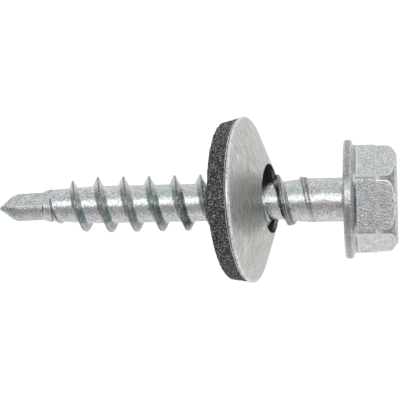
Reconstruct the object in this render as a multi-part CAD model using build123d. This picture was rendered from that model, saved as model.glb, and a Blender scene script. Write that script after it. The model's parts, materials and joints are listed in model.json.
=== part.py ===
from build123d import *
from math import atan2, ceil, cos, degrees, pi, radians, sin, tan
import os

# Self drilling roofing screw with a loose bonded washer, in millimetres and degrees.
# The screw is drawn about +Z with its point at the origin, then laid down on its head and washer.

# Drill point, pinched on a plain blank that stands a little out of true
drill_length = 3.72
drill_diameter = 2.3
point_angle = 76.0
point_tip_diameter = 0.24
point_shoulder_radius = 1.4
point_lean = 2.0
point_lean_from = 4.8
shoulder_length = 0.24
shoulder_step = 0.17
flute_web = 1.14
flute_lip_offset = 0.1
flute_facing = 33.0
flute_skew = 28.0
flute_end_gap = 1.1
flute_runout_radius = 2.0

# Shank: a core that swells behind the drill point, and a plain neck under the head
length_under_head = 29.12
thread_core_diameter = 3.17
core_swell_length = 4.4
neck_diameter = 3.68
neck_length = 3.18
neck_swell_length = 2.1
neck_flare = 0.18

# Rolled thread: a faint first turn, then a steep rise to full height, and a long fade at the neck
thread_diameter = 4.75
thread_pitch = 2.165
thread_crest_width = 0.12
thread_flank_angle = 52.0
thread_start_gap = 0.5
thread_faint_length = 1.15
thread_faint_rise = 0.14
thread_knee_length = 0.6
thread_knee_drop = 0.26
thread_rise_length = 2.9
thread_fade_length = 5.6
thread_fade_overrun = 1.37
thread_crest_at = 4.6
thread_root_sink = 0.14
thread_trim_clearance = 0.05

# Head
hex_across_flats = 8.0
head_height = 4.38
flange_diameter = 9.93
flange_rim_height = 0.72
flange_edge_break = 0.24
flange_edge_corner = 0.06
flange_cone_height = 0.38
hex_corner_trim = 0.08
hex_upper_corner_trim = 0.17
hex_step_drop = 1.7
hex_step_length = 0.08
hex_shoulder_length = 0.68
hex_bevel_height = 0.24
hex_bevel_width = 0.28

# Bonded washer: a dished sheet with a rubber ring of even thickness under it
washer_diameter = 14.0
washer_hole_clearance = 0.52
washer_rise = 1.72
washer_sheet = 0.35
washer_edge_height = 0.27
washer_edge_width = 0.2
seal_thickness = 1.7
seal_rim_inset = 0.14
seal_rim_draft = 0.36
seal_corner_break = 0.12
seal_clearance = 0.12

# Where the washer hangs on the thread, how it leans there and how far it hangs off the axis
washer_below_head = 7.34
washer_tilt = 10.4
washer_swing = 3.5
washer_offset = 0.17
washer_offset_side = 82.3

# The side of the screw that shows from above, as an angle from the side that faces the floor
view_side = 172.3

total_length = length_under_head + head_height
drill_radius = drill_diameter / 2
shoulder_radius = drill_radius + shoulder_step
shoulder_end = drill_length + shoulder_length
core_radius = thread_core_diameter / 2
neck_radius = neck_diameter / 2
neck_from = length_under_head - neck_length
crest_radius = thread_diameter / 2
foot_radius = shoulder_radius - thread_root_sink
thread_start = shoulder_end + thread_start_gap
thread_end = neck_from + thread_fade_overrun
flat_radius = hex_across_flats / 2
rim_radius = flange_diameter / 2
cup_radius = washer_diameter / 2
hole_radius = crest_radius + washer_hole_clearance
cup_slope = atan2(washer_rise, cup_radius - washer_edge_width - hole_radius)
washer_at = length_under_head - washer_below_head


def point_leaned():
    """Turn of the drill point out of the screw's axis, towards the lower side of the view."""
    turn = Rot(0, 0, view_side) * Rot(point_lean, 0, 0) * Rot(0, 0, -view_side)
    return Pos(0, 0, point_lean_from) * turn * Pos(0, 0, -point_lean_from)


def drill_blank():
    """Pointed pin with a round shoulder, whose plain end stays inside the core."""
    point_length = (drill_radius - point_tip_diameter / 2) / tan(radians(point_angle / 2))
    outline = Polyline(
        (0, 0),
        (point_tip_diameter / 2, 0),
        (drill_radius, point_length),
        (drill_radius, shoulder_end),
        (0, shoulder_end),
        close=True,
    )
    profile = make_face(outline)
    shoulder = profile.vertices().sort_by_distance((drill_radius, point_length, 0))[0]
    profile = fillet(shoulder, point_shoulder_radius)
    return point_leaned() * revolve(Plane.XZ * profile, Axis.Z)


def shank():
    """Swelling core and neck, in one turned profile from inside the blank up into the flange."""
    inside_flange = length_under_head + flange_rim_height / 2
    inside_blank = drill_length - shoulder_length
    outline = Polyline(
        (0, inside_blank),
        (drill_radius - shoulder_step, inside_blank),
        (shoulder_radius, shoulder_end),
        (core_radius, shoulder_end + core_swell_length),
        (core_radius, neck_from - neck_swell_length),
        (neck_radius, neck_from),
        (neck_radius, length_under_head - neck_flare),
        (neck_radius + neck_flare, length_under_head),
        (neck_radius + neck_flare, inside_flange),
        (0, inside_flange),
        close=True,
    )
    return revolve(Plane.XZ * make_face(outline), Axis.Z)


def thread_edge(radius, side, turn_start):
    """One turn of a long edge of the ridge, on the point's side (-1) or the head's side (+1)."""
    steps = 24
    flank_slope = tan(radians(thread_flank_angle / 2))
    half_width = thread_crest_width / 2 + (crest_radius - radius) * flank_slope
    points = []
    shares = []
    for step in range(steps + 1):
        share = step / steps
        z = turn_start + thread_pitch * share
        angle = radians(view_side) + 2 * pi * (z - thread_crest_at) / thread_pitch
        points.append((radius * cos(angle), radius * sin(angle), z + side * half_width))
        shares.append(share)
    return Edge.make_spline(points, parameters=shares)


def thread_turn(turn_start):
    """One full-height turn as a closed body: two flanks, a narrow crest and a foot in the core."""
    ring = [
        thread_edge(foot_radius, -1, turn_start),
        thread_edge(crest_radius, -1, turn_start),
        thread_edge(crest_radius, 1, turn_start),
        thread_edge(foot_radius, 1, turn_start),
    ]
    faces = []
    for first, second in zip(ring, ring[1:] + ring[:1]):
        faces.append(Face.make_surface_from_curves(first, second))
    for end in (0, 1):
        corners = [edge @ end for edge in ring]
        faces.append(Face(Wire.make_polygon(corners, close=True)))
    return Solid(Shell(faces))


def thread_envelope():
    """What the rolling dies leave of the ridge: faint, then steep, full, and a long fade."""
    clear_radius = crest_radius + thread_trim_clearance
    fade_radius = neck_radius - thread_root_sink / 2
    rise_from = thread_start + thread_faint_length
    outline = Polyline(
        (0, thread_start),
        (foot_radius, thread_start),
        (foot_radius + thread_root_sink + thread_faint_rise, rise_from),
        (crest_radius - thread_knee_drop, rise_from + thread_knee_length),
        (clear_radius, rise_from + thread_rise_length),
        (clear_radius, thread_end - thread_fade_length),
        (fade_radius, thread_end),
        (0, thread_end),
        close=True,
    )
    return revolve(Plane.XZ * make_face(outline), Axis.Z)


def thread_ridge():
    """The rolled ridge, turn by turn, trimmed where it rises and fades."""
    envelope = thread_envelope()
    first = thread_start - thread_pitch / 2
    count = ceil((thread_end - first) / thread_pitch)
    turns = []
    for number in range(count):
        trimmed = thread_turn(first + number * thread_pitch) & envelope
        turns += trimmed.solids()
    return turns


def flute():
    """Tool for one flute: a flat floor with a round, slanting run-out, and an upright lip wall."""
    floor = flute_web / 2
    lift = shoulder_radius * 2
    reach = drill_diameter * 2
    floor_end = drill_length - flute_end_gap
    rise = lift / 2
    runout = (flute_runout_radius**2 - (flute_runout_radius - rise) ** 2) ** 0.5
    path = Line((-reach, floor), (floor_end, floor))
    path += RadiusArc(
        (floor_end, floor),
        (floor_end + runout, floor + rise),
        -flute_runout_radius,
    )
    path += Polyline(
        (floor_end + runout, floor + rise),
        (floor_end + runout, floor + lift),
        (-reach, floor + lift),
        (-reach, floor),
    )
    # x of this sketch runs along the screw and y outward, then the tool is skewed about y
    cutter = extrude(Plane.XY * make_face(path), amount=reach, both=True)
    cutter = Rot(0, -flute_skew, 0) * cutter
    cutter = Plane(origin=(0, 0, 0), x_dir=(0, 0, 1), z_dir=(0, 1, 0)) * cutter
    # the floor now faces +X of the section; turn it to its facing and keep one side of the lip
    cutter = Rot(0, 0, view_side - flute_facing) * cutter
    keep = Box(reach * 4, reach * 2, reach * 6, align=(Align.CENTER, Align.MAX, Align.CENTER))
    keep = Rot(0, 0, view_side) * Pos(0, -flute_lip_offset, 0) * keep
    return cutter & keep


def flutes():
    """Both flutes, opposite each other about the leaning point."""
    tool = flute()
    return [point_leaned() * tool, point_leaned() * Rot(0, 0, 180) * tool]


def flange():
    """Washer face with twice-broken rim edges and a low cone up to the hexagon's flats."""
    edge = flange_edge_break
    corner = flange_edge_corner
    cone_top = flange_rim_height + flange_cone_height
    inside_hexagon = head_height / 2
    outline = Polyline(
        (0, 0),
        (rim_radius - edge, 0),
        (rim_radius - corner, corner),
        (rim_radius, edge),
        (rim_radius, flange_rim_height - edge),
        (rim_radius - corner, flange_rim_height - corner),
        (rim_radius - edge, flange_rim_height),
        (flat_radius, cone_top),
        (flat_radius, inside_hexagon),
        (0, inside_hexagon),
        close=True,
    )
    return revolve(Plane.XZ * make_face(outline), Axis.Z)


def crown():
    """What the heading die leaves of the hexagon: trimmed corners, round shoulder, bevelled end."""
    sharp_corner = flat_radius / cos(radians(30))
    corner = sharp_corner - hex_corner_trim
    upper_corner = sharp_corner - hex_upper_corner_trim
    step_top = head_height - hex_step_drop
    bevel_foot = head_height - hex_bevel_height
    shoulder_foot = bevel_foot - hex_shoulder_length
    inside_flange = flange_rim_height / 2
    outline = Polyline(
        (0, inside_flange),
        (corner, inside_flange),
        (corner, step_top - hex_step_length),
        (upper_corner, step_top),
        (upper_corner, shoulder_foot),
    )
    outline += TangentArc(
        (upper_corner, shoulder_foot),
        (flat_radius, bevel_foot),
        tangent=(0, 1),
    )
    outline += Polyline(
        (flat_radius, bevel_foot),
        (flat_radius - hex_bevel_width, head_height),
        (0, head_height),
        (0, inside_flange),
    )
    return revolve(Plane.XZ * make_face(outline), Axis.Z)


def head():
    """Hexagon flange head, with one flat towards the floor."""
    hexagon = RegularPolygon(flat_radius, 6, major_radius=False, rotation=30)
    hexagon = extrude(hexagon, head_height) & crown()
    return Pos(0, 0, length_under_head) * (flange() + hexagon)


def screw():
    body = shank().fuse(*thread_ridge())
    body = body + head() + drill_blank()
    for tool in flutes():
        body = body - tool
    return body


def cup_underside(radius):
    """Height of the dished sheet's underside over its rim, at a radius."""
    run = cup_radius - washer_edge_width - radius
    return washer_edge_height + run * tan(cup_slope) - washer_sheet / cos(cup_slope)


def washer_cup():
    """The dished metal washer: a cone of thin sheet with an upright cut rim, broken at its top."""
    low_rim_radius = cup_radius - washer_edge_width / 2
    outline = Polyline(
        (cup_radius, 0),
        (cup_radius, washer_edge_height / 2),
        (cup_radius - washer_edge_width, washer_edge_height),
        (hole_radius, washer_edge_height + washer_rise),
        (hole_radius, cup_underside(hole_radius)),
        (low_rim_radius, cup_underside(low_rim_radius)),
        close=True,
    )
    return revolve(Plane.XZ * make_face(outline), Axis.Z)


def seal_bore():
    """Radius that clears the leaning, offset thread over the whole height of the seal."""
    lean = radians((washer_tilt**2 + washer_swing**2) ** 0.5)
    swept = crest_radius / cos(lean) + seal_thickness / 2 * tan(lean)
    return swept + washer_offset + seal_clearance


def washer_seal():
    """The rubber ring: it lines the underside of the cup and keeps its slope."""
    bore = seal_bore()
    rim = cup_radius - seal_rim_inset
    low_rim = rim - seal_rim_draft
    low_rim_height = cup_underside(low_rim) - seal_thickness
    outline = Polyline(
        (bore, cup_underside(bore)),
        (rim, cup_underside(rim)),
        (low_rim, low_rim_height),
        (bore, cup_underside(bore) - seal_thickness),
        close=True,
    )
    profile = make_face(outline)
    low_corner = profile.vertices().sort_by_distance((low_rim, low_rim_height, 0))[0]
    profile = chamfer(low_corner, seal_corner_break)
    return revolve(Plane.XZ * profile, Axis.Z)


def washer_pivot():
    """Height over the cup's rim of the middle of the seal's bore, where the washer hangs."""
    return cup_underside(seal_bore()) - seal_thickness / 2


def washer_shift():
    """How far the washer hangs off the axis, across the screw: towards the floor and sideways."""
    side = radians(washer_offset_side)
    return washer_offset * cos(side), washer_offset * sin(side)


def washer_lean():
    """Place of the washer on the thread: leaning away from the floor and swung to one side."""
    to_floor, sideways = washer_shift()
    turn = Rot(-washer_swing, 0, 0) * Rot(0, -washer_tilt, 0)
    return Pos(to_floor, sideways, washer_at) * turn * Pos(0, 0, -washer_pivot())


def rest_slope():
    """Slope of the screw when its washer's rim and the lower side of its head meet the floor."""
    washer = Plane(washer_lean())
    edge_at = length_under_head + flange_rim_height
    touching = [
        (total_length - hex_bevel_height, flat_radius),
        (edge_at - flange_edge_break, rim_radius),
        (edge_at - flange_edge_corner, rim_radius - flange_edge_corner),
    ]
    slope = 0
    for _ in range(6):
        down = Vector(cos(slope), 0, sin(slope))
        across = down - washer.z_dir * washer.z_dir.dot(down)
        rim = washer.origin + across.normalized() * cup_radius
        slopes = []
        for at, below in touching:
            slopes.append(atan2(rim.X - below, at - rim.Z))
        slope = min(slopes)
    return degrees(slope)


def laid_down(pieces, slope):
    """Lays all pieces on the floor, head to +X, with the origin under the middle."""
    turned = [Rot(0, 90 + slope, 0) * piece for piece in pieces]
    box = Compound(turned).bounding_box()
    middle = box.center()
    shift = Pos(-middle.X, -middle.Y, -box.min.Z)
    return [shift * piece for piece in turned], shift


lean = washer_lean()
names = ["screw", "washer_cup", "washer_seal"]
pieces = [screw(), lean * washer_cup(), lean * washer_seal()]
slope = rest_slope()
laid, shift = laid_down(pieces, slope)

os.makedirs("parts", exist_ok=True)
for name, piece in zip(names, laid):
    solid = piece.solids()[0]
    export_step(solid, f"parts/{name}.step")
    print(name, len(piece.solids()), "solid(s)", round(solid.volume, 3), "mm3", solid.is_valid)
    print("  lowest point", round(solid.bounding_box().min.Z, 4))

print("slope of the screw", round(slope, 4))
print("its point is at", shift.position)
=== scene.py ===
import bpy
import json
import numpy as np
from math import atan2, cos, pi, radians, sin, tan
from mathutils import Matrix


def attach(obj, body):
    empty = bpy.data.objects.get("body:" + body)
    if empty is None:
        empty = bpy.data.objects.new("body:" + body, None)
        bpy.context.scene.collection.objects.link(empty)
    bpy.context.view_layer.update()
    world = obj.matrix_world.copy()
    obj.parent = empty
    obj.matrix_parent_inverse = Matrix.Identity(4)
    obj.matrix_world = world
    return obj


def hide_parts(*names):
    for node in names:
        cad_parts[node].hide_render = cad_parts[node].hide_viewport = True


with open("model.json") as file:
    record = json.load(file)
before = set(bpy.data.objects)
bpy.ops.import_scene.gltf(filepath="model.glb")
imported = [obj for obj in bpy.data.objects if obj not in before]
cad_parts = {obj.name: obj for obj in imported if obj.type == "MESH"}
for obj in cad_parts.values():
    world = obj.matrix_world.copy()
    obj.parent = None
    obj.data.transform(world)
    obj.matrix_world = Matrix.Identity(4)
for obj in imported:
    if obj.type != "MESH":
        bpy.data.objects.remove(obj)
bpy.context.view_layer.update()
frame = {"record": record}


# The screw's own frame. One steel piece, headed and thread-rolled, that lies on its washer's rim and
# on one flat of its head. Every piece below is drawn in millimetres along its axis from the drill
# point, with angles counted round it from the side that faces the floor.
mm = 0.001
screw_length = 33.5
head_end = next(m for m in frame["record"]["mounts"] if m["name"] == "head_end")
screw_axis = np.array(head_end["axis"])
screw_point = np.array(head_end["pos_m"]) - screw_axis * screw_length * mm
floor_side = np.array([screw_axis[2], 0.0, -screw_axis[0]])
floor_side = floor_side / np.linalg.norm(floor_side)
cross_side = np.cross(screw_axis, floor_side)
section = np.stack([floor_side, cross_side, screw_axis])
view_side = 172.3


def on_screw(x, y, z):
    """World places of points given across (x, y) and along (z) the screw, in millimetres."""
    return screw_point + np.stack([x, y, z], axis=-1) @ section * mm


def blend_between(value, low, high):
    """Smooth step from 0 at low to 1 at high: three squares less two cubes of the share."""
    share = np.clip((value - low) / (high - low), 0, 1)
    return share * share * (3 - 2 * share)


def ripple(along, round_it, seed, waves=7, finest=9.0):
    """Uneven surface from -1 to 1: a sum of sines whose wave numbers and phases are drawn by seed."""
    draw = np.random.default_rng(seed)
    total = np.zeros(np.broadcast(along, round_it).shape)
    for _ in range(waves):
        turns = draw.integers(1, max(2, int(finest)))
        pace = draw.uniform(0.15, 1.0) * finest
        total = total + np.sin(turns * round_it + pace * along + draw.uniform(0, 2 * pi))
    return total / waves * 1.6


def grid_faces(rows, columns):
    """Quads of a grid whose columns close into rings, facing away from the axis they go round."""
    row, column = np.meshgrid(np.arange(rows - 1), np.arange(columns), indexing="ij")
    after = (column + 1) % columns
    return np.stack([
        row * columns + column,
        row * columns + after,
        (row + 1) * columns + after,
        (row + 1) * columns + column,
    ], axis=-1).reshape(-1, 4)


def make_piece(name, places, faces, masks, crease=35):
    """Mesh object at the origin from world places and quads, with one float attribute a mask."""
    mesh = bpy.data.meshes.new(name)
    mesh.from_pydata(places.reshape(-1, 3), [], faces.tolist())
    for mask, values in masks.items():
        layer = mesh.attributes.new(mask, "FLOAT", "POINT")
        layer.data.foreach_set("value", np.ravel(values).astype(np.float32))
    mesh.validate()
    mesh.shade_smooth()
    mesh.set_sharp_from_angle(angle=radians(crease))
    piece = bpy.data.objects.new(name, mesh)
    bpy.context.scene.collection.objects.link(piece)
    return piece


# Camera, far enough off for a flat picture, with the screw lying almost level across the frame.
# Its turn is read from two slopes of the axis in the picture: along it and away from the viewer.
axis_rise = radians(5.585)
axis_slant = radians(1.25)
camera_distance = 0.18046
point_along = -0.016992
point_below = -0.000205
focal_share = 2150 / 400
view_turn = radians(view_side)
toward_camera = cos(view_turn) * floor_side + sin(view_turn) * cross_side
picture_up = np.cross(toward_camera, screw_axis)
seen_axis = np.array([
    cos(axis_rise) * cos(axis_slant),
    cos(axis_rise) * sin(axis_slant),
    sin(axis_rise),
])
seen_front = np.array([0.0, 0.0, 1.0]) - seen_axis * seen_axis[2]
seen_front = seen_front / np.linalg.norm(seen_front)
seen_up = np.cross(seen_front, seen_axis)
world_basis = np.stack([screw_axis, toward_camera, picture_up], axis=1)
seen_basis = np.stack([seen_axis, seen_front, seen_up], axis=1)
camera_turn = world_basis @ seen_basis.T
seen_point = np.array([0.0, point_below, 0.0]) + seen_axis * point_along
camera_place = screw_point + camera_turn @ (np.array([0.0, 0.0, camera_distance]) - seen_point)


def set_out(name, data, turn, place):
    """Object put at a world place, its own axes given by the columns of turn."""
    thing = bpy.data.objects.new(name, data)
    matrix = np.eye(4)
    matrix[:3, :3] = turn
    matrix[:3, 3] = place
    thing.matrix_world = Matrix(matrix.tolist())
    bpy.context.scene.collection.objects.link(thing)
    return thing


camera_data = bpy.data.cameras.new("camera")
camera_data.sensor_width = 36.0
camera_data.lens = 36.0 * focal_share
camera_data.clip_start = 0.005
bpy.context.scene.camera = set_out("camera", camera_data, camera_turn, camera_place)


# Plated steel of the screw: bright zinc, clear passivated, that is cool grey with bluish and warm
# patches, finely pitted and brown along the rolled seams. Painted light lies on it too: a teal painted
# reflection in the thread's flanks, painted glints, painted highlights and painted shade.
def put(tree, kind, inputs, **settings):
    """One shader node, with its settings and its inputs' plain values or incoming sockets."""
    node = tree.nodes.new(kind)
    for key, value in settings.items():
        setattr(node, key, value)
    for key, value in inputs.items():
        if isinstance(value, bpy.types.NodeSocket):
            tree.links.new(value, node.inputs[key])
        else:
            node.inputs[key].default_value = value
    return node


def open_group(name, numbers):
    """New shader group with a Vector and named number inputs, and a Mask output."""
    group = bpy.data.node_groups.new(name, "ShaderNodeTree")
    group.interface.new_socket(name="Vector", in_out="INPUT", socket_type="NodeSocketVector")
    for number in numbers:
        group.interface.new_socket(name=number, in_out="INPUT", socket_type="NodeSocketFloat")
    group.interface.new_socket(name="Mask", in_out="OUTPUT", socket_type="NodeSocketFloat")
    return group, group.nodes.new("NodeGroupInput"), group.nodes.new("NodeGroupOutput")


def mottle_group():
    """Soft patches: noise of a given scale, stretched between two of its levels."""
    group, given, result = open_group("mottle", ["Scale", "Low", "High"])
    noise = put(group, "ShaderNodeTexNoise", {
        "Vector": given.outputs["Vector"], "Scale": given.outputs["Scale"], "Detail": 4.0,
        "Roughness": 0.6,
    })
    level = put(group, "ShaderNodeMapRange", {
        "Value": noise.outputs["Fac"], "From Min": given.outputs["Low"],
        "From Max": given.outputs["High"],
    })
    group.links.new(level.outputs["Result"], result.inputs["Mask"])
    return group


def speckle_group():
    """Small round spots: cells of a given scale whose own number passes a limit, full at the core."""
    group, given, result = open_group("speckle", ["Scale", "Share", "Size"])
    cells = put(group, "ShaderNodeTexVoronoi", {
        "Vector": given.outputs["Vector"], "Scale": given.outputs["Scale"], "Randomness": 1.0,
    })
    own = put(group, "ShaderNodeSeparateColor", {"Color": cells.outputs["Color"]})
    chosen = put(group, "ShaderNodeMath", {0: own.outputs["Red"], 1: given.outputs["Share"]},
                 operation="LESS_THAN")
    core = put(group, "ShaderNodeMapRange", {
        "Value": cells.outputs["Distance"], "From Min": given.outputs["Size"], "From Max": 0.0,
    })
    spot = put(group, "ShaderNodeMath", {0: chosen.outputs[0], 1: core.outputs["Result"]},
               operation="MULTIPLY")
    group.links.new(spot.outputs[0], result.inputs["Mask"])
    return group


mottle = mottle_group()
speckle = speckle_group()


def grouped(tree, group, vector, **numbers):
    """A group placed in a material with its own numbers, as its Mask socket."""
    node = tree.nodes.new("ShaderNodeGroup")
    node.node_tree = group
    tree.links.new(vector, node.inputs["Vector"])
    for key, value in numbers.items():
        node.inputs[key.capitalize()].default_value = value
    return node.outputs["Mask"]


def tinted(tree, share, below, above, blend="MIX"):
    """Colour socket that goes from below to above with share; either may be a colour or a socket."""
    # inputs 0, 6 and 7 of a colour mix are its share and its two colours
    mix = put(tree, "ShaderNodeMix", {}, data_type="RGBA", blend_type=blend)
    for place, value in ((0, share), (6, below), (7, above)):
        if isinstance(value, bpy.types.NodeSocket):
            tree.links.new(value, mix.inputs[place])
        else:
            mix.inputs[place].default_value = value
    return mix.outputs[2]


def bright_zinc():
    """Plated steel: patchy cool and warm grey metal, brown seams; painted teal reflection on the
    flanks, painted glints, highlights and shade.
    """
    material = bpy.data.materials.new("bright_zinc")
    material.use_nodes = True
    tree = material.node_tree
    place = tree.nodes.new("ShaderNodeTexCoord").outputs["Object"]
    patches = grouped(tree, mottle, place, scale=520, low=0.36, high=0.64)
    stains = grouped(tree, mottle, place, scale=1700, low=0.42, high=0.66)
    grain = grouped(tree, mottle, place, scale=6500, low=0.38, high=0.62)
    painted_glints = grouped(tree, mottle, place, scale=8500, low=0.58, high=0.66)
    pits = grouped(tree, speckle, place, scale=4600, share=0.24, size=0.4)
    flank_with_painted_reflection = put(tree, "ShaderNodeAttribute", {}, attribute_name="flank_with_painted_reflection").outputs["Fac"]
    seam = put(tree, "ShaderNodeAttribute", {}, attribute_name="seam").outputs["Fac"]
    shade = put(tree, "ShaderNodeAttribute", {}, attribute_name="shade").outputs["Fac"]
    painted_highlight = put(tree, "ShaderNodeAttribute", {}, attribute_name="painted_highlight").outputs["Fac"]
    color = tinted(tree, patches, (0.75, 0.83, 0.84, 1), (0.91, 0.90, 0.83, 1))
    color = tinted(tree, stains, color, (0.63, 0.645, 0.62, 1))
    # painted reflection: the flanks take a teal tint that stands in for the bluish room they mirror
    color = tinted(tree, flank_with_painted_reflection, color, (0.43, 0.61, 0.60, 1))
    dimmed = put(tree, "ShaderNodeMath", {0: grain, 1: 0.68}, operation="MULTIPLY").outputs[0]
    color = tinted(tree, dimmed, color, (0.36, 0.36, 0.355, 1))
    # painted glints: small near-white spots scattered over the metal
    color = tinted(tree, painted_glints, color, (0.97, 0.97, 0.95, 1))
    color = tinted(tree, pits, color, (0.14, 0.13, 0.125, 1))
    color = tinted(tree, seam, color, (0.15, 0.12, 0.09, 1))
    # painted shade: dark bluish grey wherever the shade mask lies
    color = tinted(tree, shade, color, (0.10, 0.14, 0.17, 1))
    # painted highlight: near-white wherever the highlight mask lies
    color = tinted(tree, painted_highlight, color, (0.92, 0.92, 0.90, 1))
    rough = put(tree, "ShaderNodeMapRange", {"Value": grain, "To Min": 0.17, "To Max": 0.3})
    smooth = put(tree, "ShaderNodeMath", {0: flank_with_painted_reflection, 1: -0.09, 2: rough.outputs["Result"]},
                 operation="MULTIPLY_ADD")
    relief = put(tree, "ShaderNodeMath", {0: stains, 1: 0.3, 2: grain}, operation="MULTIPLY_ADD")
    bump = put(tree, "ShaderNodeBump", {
        "Strength": 0.35, "Distance": 0.02 * mm, "Height": relief.outputs[0],
    })
    shader = tree.nodes["Principled BSDF"]
    shader.inputs["Metallic"].default_value = 1.0
    tree.links.new(color, shader.inputs["Base Color"])
    tree.links.new(smooth.outputs[0], shader.inputs["Roughness"])
    tree.links.new(bump.outputs["Normal"], shader.inputs["Normal"])
    return material


zinc = bright_zinc()


def fit_out(piece, material, body, node):
    """Gives a finished piece its material and its body, and hides the solid it stands for."""
    piece.data.materials.append(material)
    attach(piece, body)
    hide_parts(node)


# Drill point, pinched hot between two dies on the plain blank: two flutes with an upright lip each,
# a flat floor and a slanting, rounded run-out. The blank stands a little out of true.
drill_length = 3.72
drill_radius = 1.15
point_angle = radians(76)
point_tip_radius = 0.12
point_shoulder_radius = 1.4
point_lean = radians(2.0)
point_lean_from = 4.8
shoulder_length = 0.24
flute_floor = 0.57
flute_lip_offset = 0.1
flute_facing = radians(33)
flute_skew = radians(28)
flute_end_gap = 1.1
flute_runout_radius = 2.0
lip_bead = 0.035
halvings = 22
shoulder_end = drill_length + shoulder_length


def in_view(x, y, z):
    """World places of points given towards the viewer (x), down in the view (y) and along (z)."""
    across = x * cos(view_turn) - y * sin(view_turn)
    return on_screw(across, x * sin(view_turn) + y * cos(view_turn), z)


def blank_radius(z):
    """Cone of the point, a round shoulder tangent to it, then the plain cylinder."""
    slope = tan(point_angle / 2)
    cone = point_tip_radius + z * slope
    tangent = point_shoulder_radius * tan(point_angle / 4)
    corner = (drill_radius - point_tip_radius) / slope
    arc_end = corner + tangent
    rounded = drill_radius - point_shoulder_radius + np.sqrt(
        np.clip(point_shoulder_radius**2 - np.clip(arc_end - z, 0, None) ** 2, 0, None))
    return np.where(z < corner - tangent * cos(point_angle / 2), cone, rounded)


def flute_cut(x, y, z):
    """How deep a place lies in a flute, positive inside: behind the lip and above the floor.

    x runs towards the viewer, y down in the view and z along the screw. The floor faces up by
    flute_facing and rises in an arc past its end, along a line skewed across it.
    """
    outward = x * cos(flute_facing) - y * sin(flute_facing)
    across = x * sin(flute_facing) + y * cos(flute_facing)
    past = z * cos(flute_skew) + across * sin(flute_skew) - (drill_length - flute_end_gap)
    past = np.clip(past, 0, flute_runout_radius)
    floor = flute_floor + flute_runout_radius - np.sqrt(flute_runout_radius**2 - past**2)
    return np.minimum(-flute_lip_offset - y, outward - floor)


def cut_back(radius, angle, z, to_blank):
    """Largest radius on each ray that stays out of both flutes, found by halving."""
    low = np.full_like(radius, 0.02)
    high = radius.copy()
    for _ in range(halvings):
        middle = (low + high) / 2
        x, y, along = to_blank(middle * np.cos(angle), middle * np.sin(angle), z)
        inside = np.maximum(flute_cut(x, y, along), flute_cut(-x, -y, along)) > 0
        high = np.where(inside, middle, high)
        low = np.where(inside, low, middle)
    return high


def drill_point():
    """Rings round the blank, their columns gathered at the lips, feet and far edges of the flutes."""
    rows = np.concatenate([[0, 0], np.linspace(0.02, 0.9, 16), np.linspace(0.96, 3.96, 84)])
    radius = blank_radius(rows)
    lip = -np.arcsin(np.clip(flute_lip_offset / radius, 0, 0.3))
    foot_x = (flute_floor - flute_lip_offset * sin(flute_facing)) / cos(flute_facing)
    foot = np.full_like(rows, -atan2(flute_lip_offset, foot_x))
    lip = np.maximum(lip, foot)
    far = -flute_facing - np.arccos(np.clip(flute_floor / radius, -1, 1))
    next_lip = lip - pi
    spans = ((lip, foot, 7, 1), (foot, far, 30, 1), (far, next_lip, 44, 1.8))
    stops = []
    for begin, end, count, crowd in spans:
        shares = 1 - (1 - np.arange(count) / count) ** crowd
        stops.append(begin[:, None] + (end - begin)[:, None] * shares)
    half = np.concatenate(stops, axis=1)
    angle = np.concatenate([half, half - pi], axis=1)[:, ::-1]
    z = np.broadcast_to(rows[:, None], angle.shape)
    r = np.broadcast_to(radius[:, None], angle.shape).copy()
    from_lip = (angle - lip[:, None] + pi / 2) % pi - pi / 2
    burr = np.exp(-((from_lip - lip_bead) / lip_bead) ** 2) * (from_lip > 0)
    burr = burr * blend_between(z, 0.7, 1.1) * blend_between(z, shoulder_end, 3.3)
    plain = r.copy()
    r = cut_back(r, angle, z, lambda x, y, along: (x, y, along))
    on_land = r > plain - 0.004
    r = r + np.where(on_land, lip_bead * burr, 0) + 0.006 * ripple(z * 4, angle, 3)
    r[0] = 0
    # the blank turns about the viewer's line of sight, its point towards the lower side
    leaned = z - point_lean_from
    y = r * np.sin(angle)
    along = point_lean_from + leaned * cos(point_lean) + y * sin(point_lean)
    places = in_view(r * np.cos(angle), y * cos(point_lean) - leaned * sin(point_lean), along)
    # painted shade on the land below each lip and along a thin line round the tip's facet; painted
    # highlight along the lip's bead
    under_lip = blend_between(from_lip, 0.07, 0.12) * (0.1 + 0.08 * blend_between(from_lip, 0.45, 0.8))
    facet = np.exp(-((z - 0.68 - 0.2 * np.sin(from_lip)) / 0.05) ** 2) * on_land
    painted_land_shade = under_lip * on_land * blend_between(z, 0.7, 1.0)
    masks = {
        "painted_highlight": np.clip(2.6 * burr, 0, 1) * on_land,
        "shade": np.clip(painted_land_shade + 0.5 * facet, 0, 1),
    }
    return make_piece("drill_point", places, grid_faces(*r.shape), masks)


fit_out(drill_point(), zinc, "screw", "screw")


# Shank: core, plain neck and rolled thread as one skin, laid along the helix so that crest, flanks
# and roots follow the mesh. The first turn is only marked, then the ridge rises steeply; towards
# the neck it fades over two and a half turns.
thread_pitch = 2.165
thread_crest_at = 4.6
thread_crest_radius = 2.375
thread_crest_half = 0.06
thread_flank = tan(radians(26))
turn_steps = 132
shank_from = 3.5
shank_to = 29.3
core_line = ((3.48, 0.98), (3.96, 1.32), (8.36, 1.585), (23.84, 1.585), (25.94, 1.84), (28.94, 1.84),
             (29.12, 2.02))
ridge_line = ((4.45, 0.0), (4.46, 1.36), (5.0, 1.52), (5.61, 1.58), (6.21, 2.115), (8.51, 2.425),
              (21.71, 2.425), (27.31, 1.77), (27.32, 0.0))
first_curl_at = 3.84
second_curl_at = 4.34
curl_height = 0.1
seam_depth = 0.035


def along_line(z, line):
    """Radius at z on a line of (z, radius) corners."""
    stops = np.array(line)
    return np.interp(z, stops[:, 0], stops[:, 1])


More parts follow.
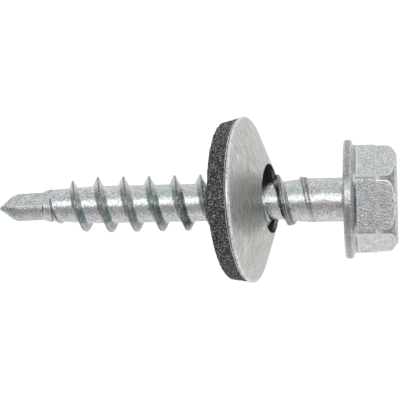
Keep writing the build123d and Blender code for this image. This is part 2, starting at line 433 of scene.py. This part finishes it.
def soft_max(first, second, softness):
    """Larger of the two, rounded where they cross: their mean plus half a softened difference."""
    return (first + second + np.sqrt((first - second) ** 2 + softness**2)) / 2


def out_of_blank(x, y, z):
    """Coordinates of the leaning drill point for a place given along the straight screw."""
    leaned = z - point_lean_from
    along = point_lean_from + leaned * cos(point_lean) - y * sin(point_lean)
    return x, y * cos(point_lean) + leaned * sin(point_lean), along


def threaded_shank():
    """Helical grid: rows go round the screw, columns step across one pitch from root to root."""
    right = np.array([0.02, 0.045, 0.06, 0.08, 0.12, 0.18, 0.24, 0.3, 0.35, 0.39, 0.43, 0.48, 0.54,
                      0.61, 0.68, 0.75, 0.82, 0.89, 0.96, 1.03])
    across = np.concatenate([-right[::-1], right, [thread_pitch / 2]])
    spare = 1.5 + 0.5 / thread_pitch
    first = int(((shank_from - thread_crest_at) / thread_pitch - spare) * turn_steps)
    last = int(((shank_to - thread_crest_at) / thread_pitch + spare) * turn_steps)
    turns = np.arange(first, last + 1)[:, None] / turn_steps
    t = np.broadcast_to(across[None, :], (len(turns), len(across)))
    angle = np.broadcast_to(2 * pi * turns, t.shape)
    free_z = thread_crest_at + thread_pitch * turns + t
    z = np.clip(free_z, shank_from, shank_to)
    core = along_line(z, core_line) + 0.008 * (ripple(z * 2.5, angle, 21) - 1)
    first_bend = z - first_curl_at - 0.1 * np.sin(3 * angle + 1.2)
    second_bend = z - second_curl_at - 0.12 * np.sin(2 * angle + 0.4)
    curls = np.exp(-(first_bend / 0.06) ** 2) + np.exp(-(second_bend / 0.06) ** 2)
    curls = curls * (0.75 + 0.25 * ripple(z * 0, angle, 41))
    curls = curls * blend_between(np.sin(angle) * np.sign(np.cos(angle)), -0.75, -0.35)
    core = core + curl_height * curls
    limit = along_line(z, ridge_line)
    wander = 0.012 * ripple(angle * 3, z * 0, 12, finest=6)
    off = np.abs(t + wander)
    crest = np.where(z < 12, np.minimum(limit, thread_crest_radius), thread_crest_radius)
    ridge = crest - np.clip(off - thread_crest_half, 0, None) / thread_flank
    ridge = ridge - 0.02 + 0.02 * ripple(angle * 2.3, t * 2, 5)
    ridge = np.minimum(ridge, limit)
    seam = np.exp(-((t + 2 * wander) / 0.03) ** 2)
    r = soft_max(core, np.maximum(ridge - seam_depth * seam, 0.5), 0.05) - 0.005
    r = np.where(z < 6.2, cut_back(r, angle, z, out_of_blank), r)
    r = r - 0.014 * blend_between(z, 4.0, 3.9)
    r = r * np.clip(1 - np.abs(free_z - z) / 0.5, 0, 1)
    rows, columns = t.shape
    row, column = np.meshgrid(np.arange(rows - 1), np.arange(columns), indexing="ij")
    after = row * columns + column + 1 + (column == columns - 1) * (turn_steps - 1) * columns
    faces = np.stack([row * columns + column, (row + 1) * columns + column, after + columns, after],
                     axis=-1).reshape(-1, 4)
    faces = faces[faces.max(axis=1) < rows * columns]
    high = blend_between(ridge - core, 0.02, 0.2)
    on_flank = blend_between(off, 0.07, 0.14) * high
    low_ridge = blend_between(limit, thread_crest_radius, thread_crest_radius - 0.2)
    low_ridge = low_ridge * (z > 12)
    brown = np.exp(-(t / (0.075 + 0.1 * low_ridge)) ** 2) * blend_between(ridge - core, 0.0, 0.08)
    # painted highlight: a bright line beside each crest; the curls are painted bright as well
    painted_crest_highlight = 0.7 * np.exp(-((t - 0.14) / 0.04) ** 2) * high
    # painted shade: dark bands just behind the curls
    behind_curls = np.exp(-((first_bend + 0.13) / 0.08) ** 2)
    behind_curls = behind_curls + np.exp(-((second_bend - 0.13) / 0.08) ** 2)
    behind_curls = behind_curls * (curls.max(axis=1, keepdims=True) > 0.2)
    # painted shade on the flanks' lower side in view, strongest on the head-side flanks of the last
    # turns
    low_flank = on_flank * blend_between(np.sin(angle), 0.0, 0.9)
    low_flank = low_flank * (0.26 + 0.34 * (t > 0) * blend_between(z, 8.0, 16.0))
    # the flank tint is a painted reflection, deeper on the lower side in view and faint on top
    masks = {
        "flank_with_painted_reflection": on_flank * (0.62 + 0.38 * np.sin(angle)),
        "seam": brown * (0.75 + 0.25 * ripple(angle * 5, t, 61)),
        "painted_highlight": np.clip(curls + painted_crest_highlight * (0.6 + 0.4 * ripple(angle * 7, t, 71)), 0, 1),
        "shade": np.clip(low_flank + behind_curls, 0, 1),
    }
    places = in_view(r * np.cos(angle), r * np.sin(angle), z)
    return make_piece("threaded_shank", places, faces, masks)


fit_out(threaded_shank(), zinc, "screw", "screw")


# Head, forged in one blow: flange with a rolled rim and a low cone, hexagon with pressed-in corners,
# a small step round it and a rounded shoulder up to the bevelled end.
under_head = 29.12
head_height = 4.38
flat_radius = 4.0
flange_line = ((0.0, 4.725), (0.06, 4.905), (0.13, 4.95), (0.24, 4.965), (0.48, 4.965), (0.59, 4.95),
               (0.66, 4.905), (0.72, 4.725), (1.10, 3.95), (4.4, 2.0))
step_top = head_height - 1.7
corner_radius = flat_radius / cos(radians(30)) - 0.08
upper_corner_radius = corner_radius - 0.09
shoulder_foot = 3.46
bevel_foot = 4.14
shoulder_drop = upper_corner_radius - flat_radius
shoulder_rise = bevel_foot - shoulder_foot
shoulder_round = (shoulder_drop**2 + shoulder_rise**2) / (2 * shoulder_drop)
bevel_slope = 0.28 / 0.24
panel_sink = 0.03
seat_rings = (0.0, 1.9, 4.4)
end_rings = (3.68, 3.4, 1.8, 0.0)


def hexagon_head():
    """Rings of angles: the flange's line or the hexagon, whichever is wider, cut by the shoulder."""
    rise = np.concatenate([
        [0, 0, 0], np.linspace(0.0, 0.3, 12), np.linspace(0.42, 0.75, 14), np.linspace(0.78, 1.2, 15),
        np.linspace(1.28, 2.5, 14), np.linspace(2.54, 2.86, 17), np.linspace(2.92, 3.4, 7),
        np.linspace(3.46, 4.38, 40), [4.38, 4.38, 4.38, 4.38],
    ])[:, None]
    angle = (np.arange(432) / 432 * 2 * pi)[None, :]
    from_flat = (angle + pi / 6) % (pi / 3) - pi / 6
    panel = panel_sink * blend_between(rise, step_top - 0.05, step_top + 0.06)
    flat = (flat_radius - panel) / np.cos(from_flat)
    corner = corner_radius - 0.09 * blend_between(rise, step_top - 0.08, step_top)
    over = np.clip(rise - shoulder_foot, 0, shoulder_rise)
    corner = corner - shoulder_round + np.sqrt(shoulder_round**2 - over**2)
    hexagon = -soft_max(-flat, -corner, 0.006)
    bevel = flat_radius - (rise - bevel_foot) * bevel_slope
    hexagon = np.where(rise > bevel_foot, np.minimum(hexagon, bevel), hexagon)
    flange = along_line(rise, flange_line) + 0 * angle
    r = soft_max(hexagon, flange, 0.03) - 0.012
    r = r - 0.006 * (1 + ripple(rise * 3, angle, 8))
    r[:3] = np.array(seat_rings)[:, None]
    r[-4:] = np.array(end_rings)[:, None]
    z = under_head + rise + 0 * angle
    # painted highlights: bright lines along the flats' outlines (most on the flat facing the viewer),
    # along the step, round the flats' foot and at the corner notches
    line = 0.03 + 0.1 * over
    rim = np.exp(-((flat - corner) / line) ** 2) * blend_between(rise, step_top, step_top + 0.05)
    ledge = np.exp(-((rise - step_top - 0.02) / 0.035) ** 2) * (flat < corner)
    foot = np.exp(-((rise - 1.13) / 0.05) ** 2) * (flat < corner)
    to_corner = pi / 6 - np.abs(from_flat)
    notch = np.exp(-(to_corner / 0.035) ** 2 - ((rise - step_top) / 0.07) ** 2)
    seen_flat = np.exp(-((angle - pi) / 0.6) ** 2)
    painted_highlight_lines = np.clip(rim * (0.3 + 0.7 * seen_flat) + 0.3 * ledge + 0.8 * foot + notch, 0, 1)
    rolled = blend_between(rise, 0.1, 0.25) * blend_between(rise, 0.66, 0.5) + 0 * angle
    # painted shade: a dark band at the foot of each flat (most on the flat facing the viewer), a line
    # beside each flat's outline and a thin line along each corner
    crease = np.exp(-((rise - 0.98) / 0.12) ** 2) * blend_between(np.abs(from_flat), 0.49, 0.3)
    crease = crease * (0.25 + 0.65 * seen_flat)
    shoulder = 0.5 * blend_between(flat - corner, 0.01, 0.05) * blend_between(rise, 2.9, 3.4)
    brown = np.clip(0.42 * rolled + shoulder, 0, 0.5) * (1 - painted_highlight_lines)
    below_rim = np.exp(-((flat - corner - 2 * line) / line) ** 2) * blend_between(rise, 2.9, 3.2)
    painted_corner_shade = np.exp(-(to_corner / 0.014) ** 2) * blend_between(rise, 1.0, 1.1) * (rise < step_top)
    shade = np.clip(crease + 0.5 * below_rim + 0.6 * painted_corner_shade, 0, 1)
    side = blend_between(rise, bevel_foot + 0.08, bevel_foot + 0.02)
    masks = {"seam": brown * side, "painted_highlight": painted_highlight_lines * side, "shade": shade * (1 - notch) * side}
    places = on_screw(r * np.cos(angle), r * np.sin(angle), z)
    return make_piece("hexagon_head", places, grid_faces(*r.shape), masks, crease=10)


fit_out(hexagon_head(), zinc, "screw", "screw")


# Bonded washer: a dished, brushed metal sheet with a black rubber ring under it. It hangs loose on
# the thread, leaning back from the head and swung a little to one side.
cup_slope = tan(atan2(1.72, 3.905))
washer_tilt = radians(-10.4)
washer_swing = radians(-3.5)
washer_at = 21.78
washer_side = 0.17
washer_side_angle = radians(82.3)


def cup_underside(radius):
    """Height of the sheet's underside over the rim's plane, at a radius."""
    return 0.27 + (6.8 - radius) * cup_slope - 0.35 * (1 + cup_slope**2) ** 0.5


seal_bore = 2.874
seal_height = 1.7
washer_pivot = cup_underside(seal_bore) - 0.85


def on_washer(r, angle, height):
    """World places of points given by radius, angle and height over the leaning washer's rim."""
    x = r * np.cos(angle)
    y = r * np.sin(angle)
    z = height - washer_pivot
    tilted_x = x * cos(washer_tilt) + z * sin(washer_tilt)
    tilted_z = z * cos(washer_tilt) - x * sin(washer_tilt)
    swung_y = y * cos(washer_swing) - tilted_z * sin(washer_swing)
    swung_z = y * sin(washer_swing) + tilted_z * cos(washer_swing)
    across = washer_side * cos(washer_side_angle)
    sideways = washer_side * sin(washer_side_angle)
    return on_screw(tilted_x + across, swung_y + sideways, swung_z + washer_at)


def ring_profile(corners, finest):
    """Points along a closed line of (radius, height) corners, no farther apart than finest."""
    points = []
    for corner, next_corner in zip(corners, corners[1:] + corners[:1]):
        here = np.array(corner)
        there = np.array(next_corner)
        count = max(1, int(np.ceil(np.linalg.norm(there - here) / finest)))
        points.append(here + (there - here) * (np.arange(count) / count)[:, None])
    return np.concatenate(points)


def brushed_steel():
    """Satin sheet: grey metal under fine brush lines, with pits, rub marks and a bright cut rim."""
    material = bpy.data.materials.new("brushed_steel")
    material.use_nodes = True
    tree = material.node_tree
    place = tree.nodes.new("ShaderNodeTexCoord").outputs["Object"]
    u = put(tree, "ShaderNodeAttribute", {}, attribute_name="brush_across").outputs["Fac"]
    v = put(tree, "ShaderNodeAttribute", {}, attribute_name="brush_along").outputs["Fac"]
    cut = put(tree, "ShaderNodeAttribute", {}, attribute_name="cut").outputs["Fac"]
    brush_place = put(tree, "ShaderNodeCombineXYZ", {"X": u, "Y": v}).outputs["Vector"]
    lines = grouped(tree, mottle, brush_place, scale=5.5, low=0.36, high=0.64)
    fine_lines = grouped(tree, mottle, brush_place, scale=9.5, low=0.42, high=0.6)
    patches = grouped(tree, mottle, place, scale=380, low=0.38, high=0.62)
    clouds = grouped(tree, mottle, place, scale=900, low=0.42, high=0.68)
    grain = grouped(tree, mottle, place, scale=8000, low=0.36, high=0.64)
    pits = grouped(tree, speckle, place, scale=2300, share=0.16, size=0.26)
    stain = put(tree, "ShaderNodeAttribute", {}, attribute_name="stain").outputs["Fac"]
    nicks = grouped(tree, mottle, place, scale=3400, low=0.5, high=0.64)
    color = tinted(tree, patches, (0.97, 0.965, 0.86, 1), (1.0, 0.97, 0.83, 1))
    color = tinted(tree, clouds, color, (0.76, 0.775, 0.73, 1))
    color = tinted(tree, lines, color, (0.56, 0.565, 0.54, 1))
    color = tinted(tree, stain, color, (0.62, 0.53, 0.38, 1))
    scored = put(tree, "ShaderNodeMath", {0: fine_lines, 1: 0.7}, operation="MULTIPLY")
    color = tinted(tree, scored.outputs[0], color, (0.44, 0.45, 0.45, 1))
    faint_grain = put(tree, "ShaderNodeMath", {0: grain, 1: 0.35}, operation="MULTIPLY")
    color = tinted(tree, faint_grain.outputs[0], color, (0.50, 0.50, 0.50, 1))
    color = tinted(tree, pits, color, (0.12, 0.12, 0.12, 1))
    bare = tinted(tree, nicks, (0.86, 0.86, 0.84, 1), (0.52, 0.51, 0.49, 1))
    color = tinted(tree, cut, color, bare)
    rough = put(tree, "ShaderNodeMapRange", {"Value": lines, "To Min": 0.24, "To Max": 0.36})
    relief = put(tree, "ShaderNodeMath", {0: lines, 1: pits}, operation="SUBTRACT")
    bump = put(tree, "ShaderNodeBump", {
        "Strength": 0.35, "Distance": 0.012 * mm, "Height": relief.outputs[0],
    })
    shader = tree.nodes["Principled BSDF"]
    shader.inputs["Metallic"].default_value = 1.0
    tree.links.new(color, shader.inputs["Base Color"])
    tree.links.new(rough.outputs["Result"], shader.inputs["Roughness"])
    tree.links.new(bump.outputs["Normal"], shader.inputs["Normal"])
    return material


def washer_cup():
    """Closed profile of the dished sheet, turned round; its cut rim is nicked all along."""
    corners = [(6.985, 0.02), (6.985, 0.135), (6.8, 0.262), (2.91, 1.975), (2.9, 1.95),
               (2.9, cup_underside(2.9) + 0.02), (2.92, cup_underside(2.92) + 0.006),
               (6.86, cup_underside(6.86) + 0.004), (6.9, -0.14)]
    profile = ring_profile(corners, 0.12)
    angle = (np.arange(480) / 480 * 2 * pi)[None, :]
    r = profile[:, :1] + 0 * angle
    height = profile[:, 1:] + 0 * angle
    at_rim = blend_between(r, 6.7, 6.9)
    nick = 0.5 + 0.5 * ripple(angle * 3, angle, 31, waves=12, finest=60)
    r = r - 0.02 * at_rim * nick
    masks = {
        "brush_across": r * np.cos(angle + 0.14),
        "brush_along": 0.11 * r * np.sin(angle + 0.14),
        "cut": blend_between(r, 6.8, 6.86),
        "stain": 0.5 * np.exp(-(((r - 5.3) / 0.7) ** 2 + ((angle - radians(232)) / 0.1) ** 2)),
    }
    faces = grid_faces(*r.shape)[:, ::-1]
    return make_piece("washer_sheet", on_washer(r, angle, height), faces, masks)


def black_rubber():
    """Charcoal rubber: matt, dusted with fine light specks, uneven all over."""
    material = bpy.data.materials.new("black_rubber")
    material.use_nodes = True
    tree = material.node_tree
    place = tree.nodes.new("ShaderNodeTexCoord").outputs["Object"]
    lumps = grouped(tree, mottle, place, scale=1300, low=0.3, high=0.7)
    dust_spots = grouped(tree, mottle, place, scale=8500, low=0.53, high=0.62)
    pores = grouped(tree, mottle, place, scale=7000, low=0.5, high=0.58)
    outside = put(tree, "ShaderNodeAttribute", {}, attribute_name="outside").outputs["Fac"]
    dust = put(tree, "ShaderNodeMath", {0: dust_spots, 1: outside}, operation="MULTIPLY").outputs[0]
    grain = grouped(tree, mottle, place, scale=6000, low=0.35, high=0.65)
    color = tinted(tree, lumps, (0.013, 0.013, 0.013, 1), (0.048, 0.047, 0.045, 1))
    color = tinted(tree, pores, color, (0.006, 0.006, 0.006, 1))
    color = tinted(tree, dust, color, (0.46, 0.45, 0.42, 1))
    relief = put(tree, "ShaderNodeMath", {0: lumps, 1: grain}, operation="ADD")
    bump = put(tree, "ShaderNodeBump", {
        "Strength": 0.8, "Distance": 0.05 * mm, "Height": relief.outputs[0],
    })
    shader = tree.nodes["Principled BSDF"]
    shader.inputs["Roughness"].default_value = 0.62
    tree.links.new(color, shader.inputs["Base Color"])
    tree.links.new(bump.outputs["Normal"], shader.inputs["Normal"])
    return material


def rubber_seal():
    """Closed profile of the ring, turned round, with a lumpy outer side and underside."""
    low_rim = cup_underside(6.5) - seal_height
    corners = [(seal_bore, cup_underside(seal_bore)),
               (seal_bore, cup_underside(seal_bore) - seal_height),
               (6.5, low_rim), (6.62, low_rim + 0.1), (6.88, cup_underside(6.88))]
    profile = ring_profile(corners, 0.1)
    angle = (np.arange(360) / 360 * 2 * pi)[None, :]
    r = profile[:, :1] + 0 * angle
    height = profile[:, 1:] + 0 * angle
    free = blend_between(cup_underside(r) - height, 0.02, 0.25) * blend_between(r, 2.9, 3.2)
    lumps = ripple(height * 4, angle, 17, waves=16, finest=90) - 0.2
    r = r + 0.09 * free * lumps
    faces = grid_faces(*r.shape)
    masks = {"outside": blend_between(r, 3.0, 4.0)}
    return make_piece("rubber_ring", on_washer(r, angle, height), faces, masks, crease=50)


fit_out(washer_cup(), brushed_steel(), "washer", "washer_cup")
fit_out(rubber_seal(), black_rubber(), "washer", "washer_seal")


# White sheet under the screw. Seen directly or in the metal it is plain white; a faint shadow stays.
def white_sheet():
    """Large flat square on the floor, its white partly its own light for the rays that see it."""
    half = 1.5
    mesh = bpy.data.meshes.new("floor")
    mesh.from_pydata([(-half, -half, 0), (half, -half, 0), (half, half, 0), (-half, half, 0)], [],
                     [(0, 1, 2, 3)])
    material = bpy.data.materials.new("white_paper")
    material.use_nodes = True
    tree = material.node_tree
    shader = tree.nodes["Principled BSDF"]
    shader.inputs["Base Color"].default_value = (0.86, 0.86, 0.86, 1)
    shader.inputs["Roughness"].default_value = 0.9
    rays = tree.nodes.new("ShaderNodeLightPath")
    glow = put(tree, "ShaderNodeEmission", {"Color": (1, 1, 1, 1), "Strength": 1.12})
    seen = put(tree, "ShaderNodeMath", {0: rays.outputs["Is Camera Ray"], 1: 0.9},
               operation="MULTIPLY")
    share = put(tree, "ShaderNodeMath", {0: rays.outputs["Is Glossy Ray"], 1: 0.47,
                                         2: seen.outputs[0]}, operation="MULTIPLY_ADD")
    mix = put(tree, "ShaderNodeMixShader", {0: share.outputs[0]})
    tree.links.new(shader.outputs["BSDF"], mix.inputs[1])
    tree.links.new(glow.outputs["Emission"], mix.inputs[2])
    tree.links.new(mix.outputs["Shader"], tree.nodes["Material Output"].inputs["Surface"])
    mesh.materials.append(material)
    sheet = bpy.data.objects.new("floor", mesh)
    bpy.context.scene.collection.objects.link(sheet)
    return sheet


white_sheet()


# Room light as bands round the screw, by angle from the line of sight towards the picture's top:
# a bright strip just above the line of sight, a lilac shade below it, pale blue over the rest.
sky_bands = (
    (-180, (0.38, 0.385, 0.39)),
    (-92, (0.34, 0.34, 0.34)),
    (-68, (0.31, 0.31, 0.31)),
    (-54, (0.22, 0.21, 0.22)),
    (-7, (0.18, 0.168, 0.178)),
    (-1, (0.9, 0.9, 0.9)),
    (21, (0.9, 0.9, 0.9)),
    (32, (0.31, 0.325, 0.335)),
    (150, (0.36, 0.38, 0.385)),
    (180, (0.38, 0.385, 0.39)),
)
side_shade = (0.17, 0.185, 0.205, 1)
sky_level = 2.3


def room_light():
    """World light: the bands by angle, fading to a bluish shade towards both ends of the screw."""
    world = bpy.data.worlds.new("room")
    world.use_nodes = True
    bpy.context.scene.world = world
    tree = world.node_tree
    ray = tree.nodes.new("ShaderNodeTexCoord").outputs["Generated"]
    shares = []
    for axis in (camera_turn[:, 1], camera_turn[:, 2], camera_turn[:, 0]):
        shares.append(put(tree, "ShaderNodeVectorMath", {0: ray, 1: tuple(axis)},
                          operation="DOT_PRODUCT").outputs["Value"])
    angle = put(tree, "ShaderNodeMath", {0: shares[0], 1: shares[1]}, operation="ARCTAN2")
    spot = put(tree, "ShaderNodeMapRange", {
        "Value": angle.outputs[0], "From Min": -pi, "From Max": pi,
    })
    ramp = put(tree, "ShaderNodeValToRGB", {"Fac": spot.outputs["Result"]})
    stops = ramp.color_ramp.elements
    while len(stops) < len(sky_bands):
        stops.new(0.5)
    for stop, (degrees, tone) in zip(stops, sky_bands):
        stop.position = (degrees + 180) / 360
        stop.color = (*tone, 1)
    sideways = put(tree, "ShaderNodeMath", {0: shares[2]}, operation="ABSOLUTE")
    off = put(tree, "ShaderNodeMapRange", {
        "Value": sideways.outputs[0], "From Min": 0.35, "From Max": 0.85,
    })
    color = tinted(tree, off.outputs["Result"], ramp.outputs["Color"], side_shade)
    ground = tree.nodes["Background"]
    tree.links.new(color, ground.inputs["Color"])
    ground.inputs["Strength"].default_value = sky_level


room_light()

bpy.context.scene.view_settings.view_transform = "Standard"
